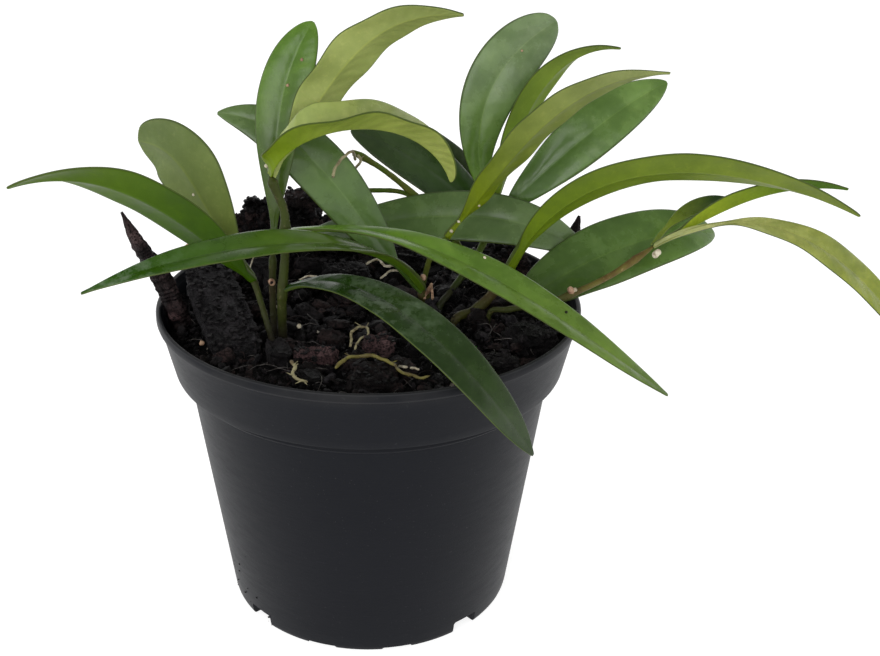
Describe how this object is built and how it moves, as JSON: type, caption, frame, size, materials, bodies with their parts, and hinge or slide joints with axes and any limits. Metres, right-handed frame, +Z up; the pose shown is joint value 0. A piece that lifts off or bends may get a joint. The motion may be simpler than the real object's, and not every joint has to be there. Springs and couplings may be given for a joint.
{
  "type": "potted hoya plant",
  "caption": "Narrow-leaved hoya in a plain round nursery pot: arching leaves on short trailing stems over coarse potting bark.",
  "frame": {"origin": "centre of the pot base, on the plane that the pot stands on", "axes": "+Z up along the pot axis, +X towards the longest trailing shoot"},
  "size_m": [0.2496, 0.1268, 0.1795],
  "materials": {
    "pot_plastic": "satin black, thin moulded",
    "potting_bark": "wet dark crumbs",
    "bark_piece": "rough damp bark",
    "root": "pale and dull",
    "leaf": "waxy, satin gloss",
    "young_leaf": "waxy, satin gloss",
    "green_stem": "smooth",
    "woody_stem": "smooth brown-green bark"
  },
  "bodies": {
    "root": {"bark_back": "bark_piece", "bark_back_left": "bark_piece", "bark_back_right": "bark_piece", "bark_back_top": "bark_piece", "bark_chip_front": "bark_piece", "bark_chip_round": "bark_piece", "bark_middle": "bark_piece", "bark_middle_right": "bark_piece", "bark_red": "bark_piece", "bark_right": "bark_piece", "bark_right_front": "bark_piece", "bark_slab": "bark_piece", "bark_spike": "bark_piece", "bark_stake": "bark_piece", "branch_right": "woody_stem", "leaf_back_broad": "leaf", "leaf_back_lean": "young_leaf", "leaf_back_narrow": "leaf", "leaf_back_tall": "leaf", "leaf_centre_back": "leaf", "leaf_centre_dark": "leaf", "leaf_dark_left": "leaf", "leaf_far_left": "leaf", "leaf_left_arch": "young_leaf", "leaf_left_paddle": "leaf", "leaf_left_tall": "leaf", "leaf_long_left": "leaf", "leaf_long_right": "leaf", "leaf_middle": "leaf", "leaf_over_rim": "leaf", "leaf_right_arch": "leaf", "leaf_right_broad": "leaf", "leaf_shoot_bud": "young_leaf", "leaf_shoot_droop": "young_leaf", "leaf_shoot_long": "young_leaf", "leaf_young_curl": "young_leaf", "pot": "pot_plastic", "root_aerial": "root", "root_front": "root", "root_left": "root", "root_middle": "root", "shoot_centre": "green_stem", "shoot_small": "green_stem", "stem_back": "green_stem", "stem_centre": "woody_stem", "stem_far_left": "green_stem", "stem_left": "woody_stem", "stem_left_back": "green_stem", "stem_right": "woody_stem", "substrate": "potting_bark", "vine_tip": "green_stem"}
  },
  "joints": []
}
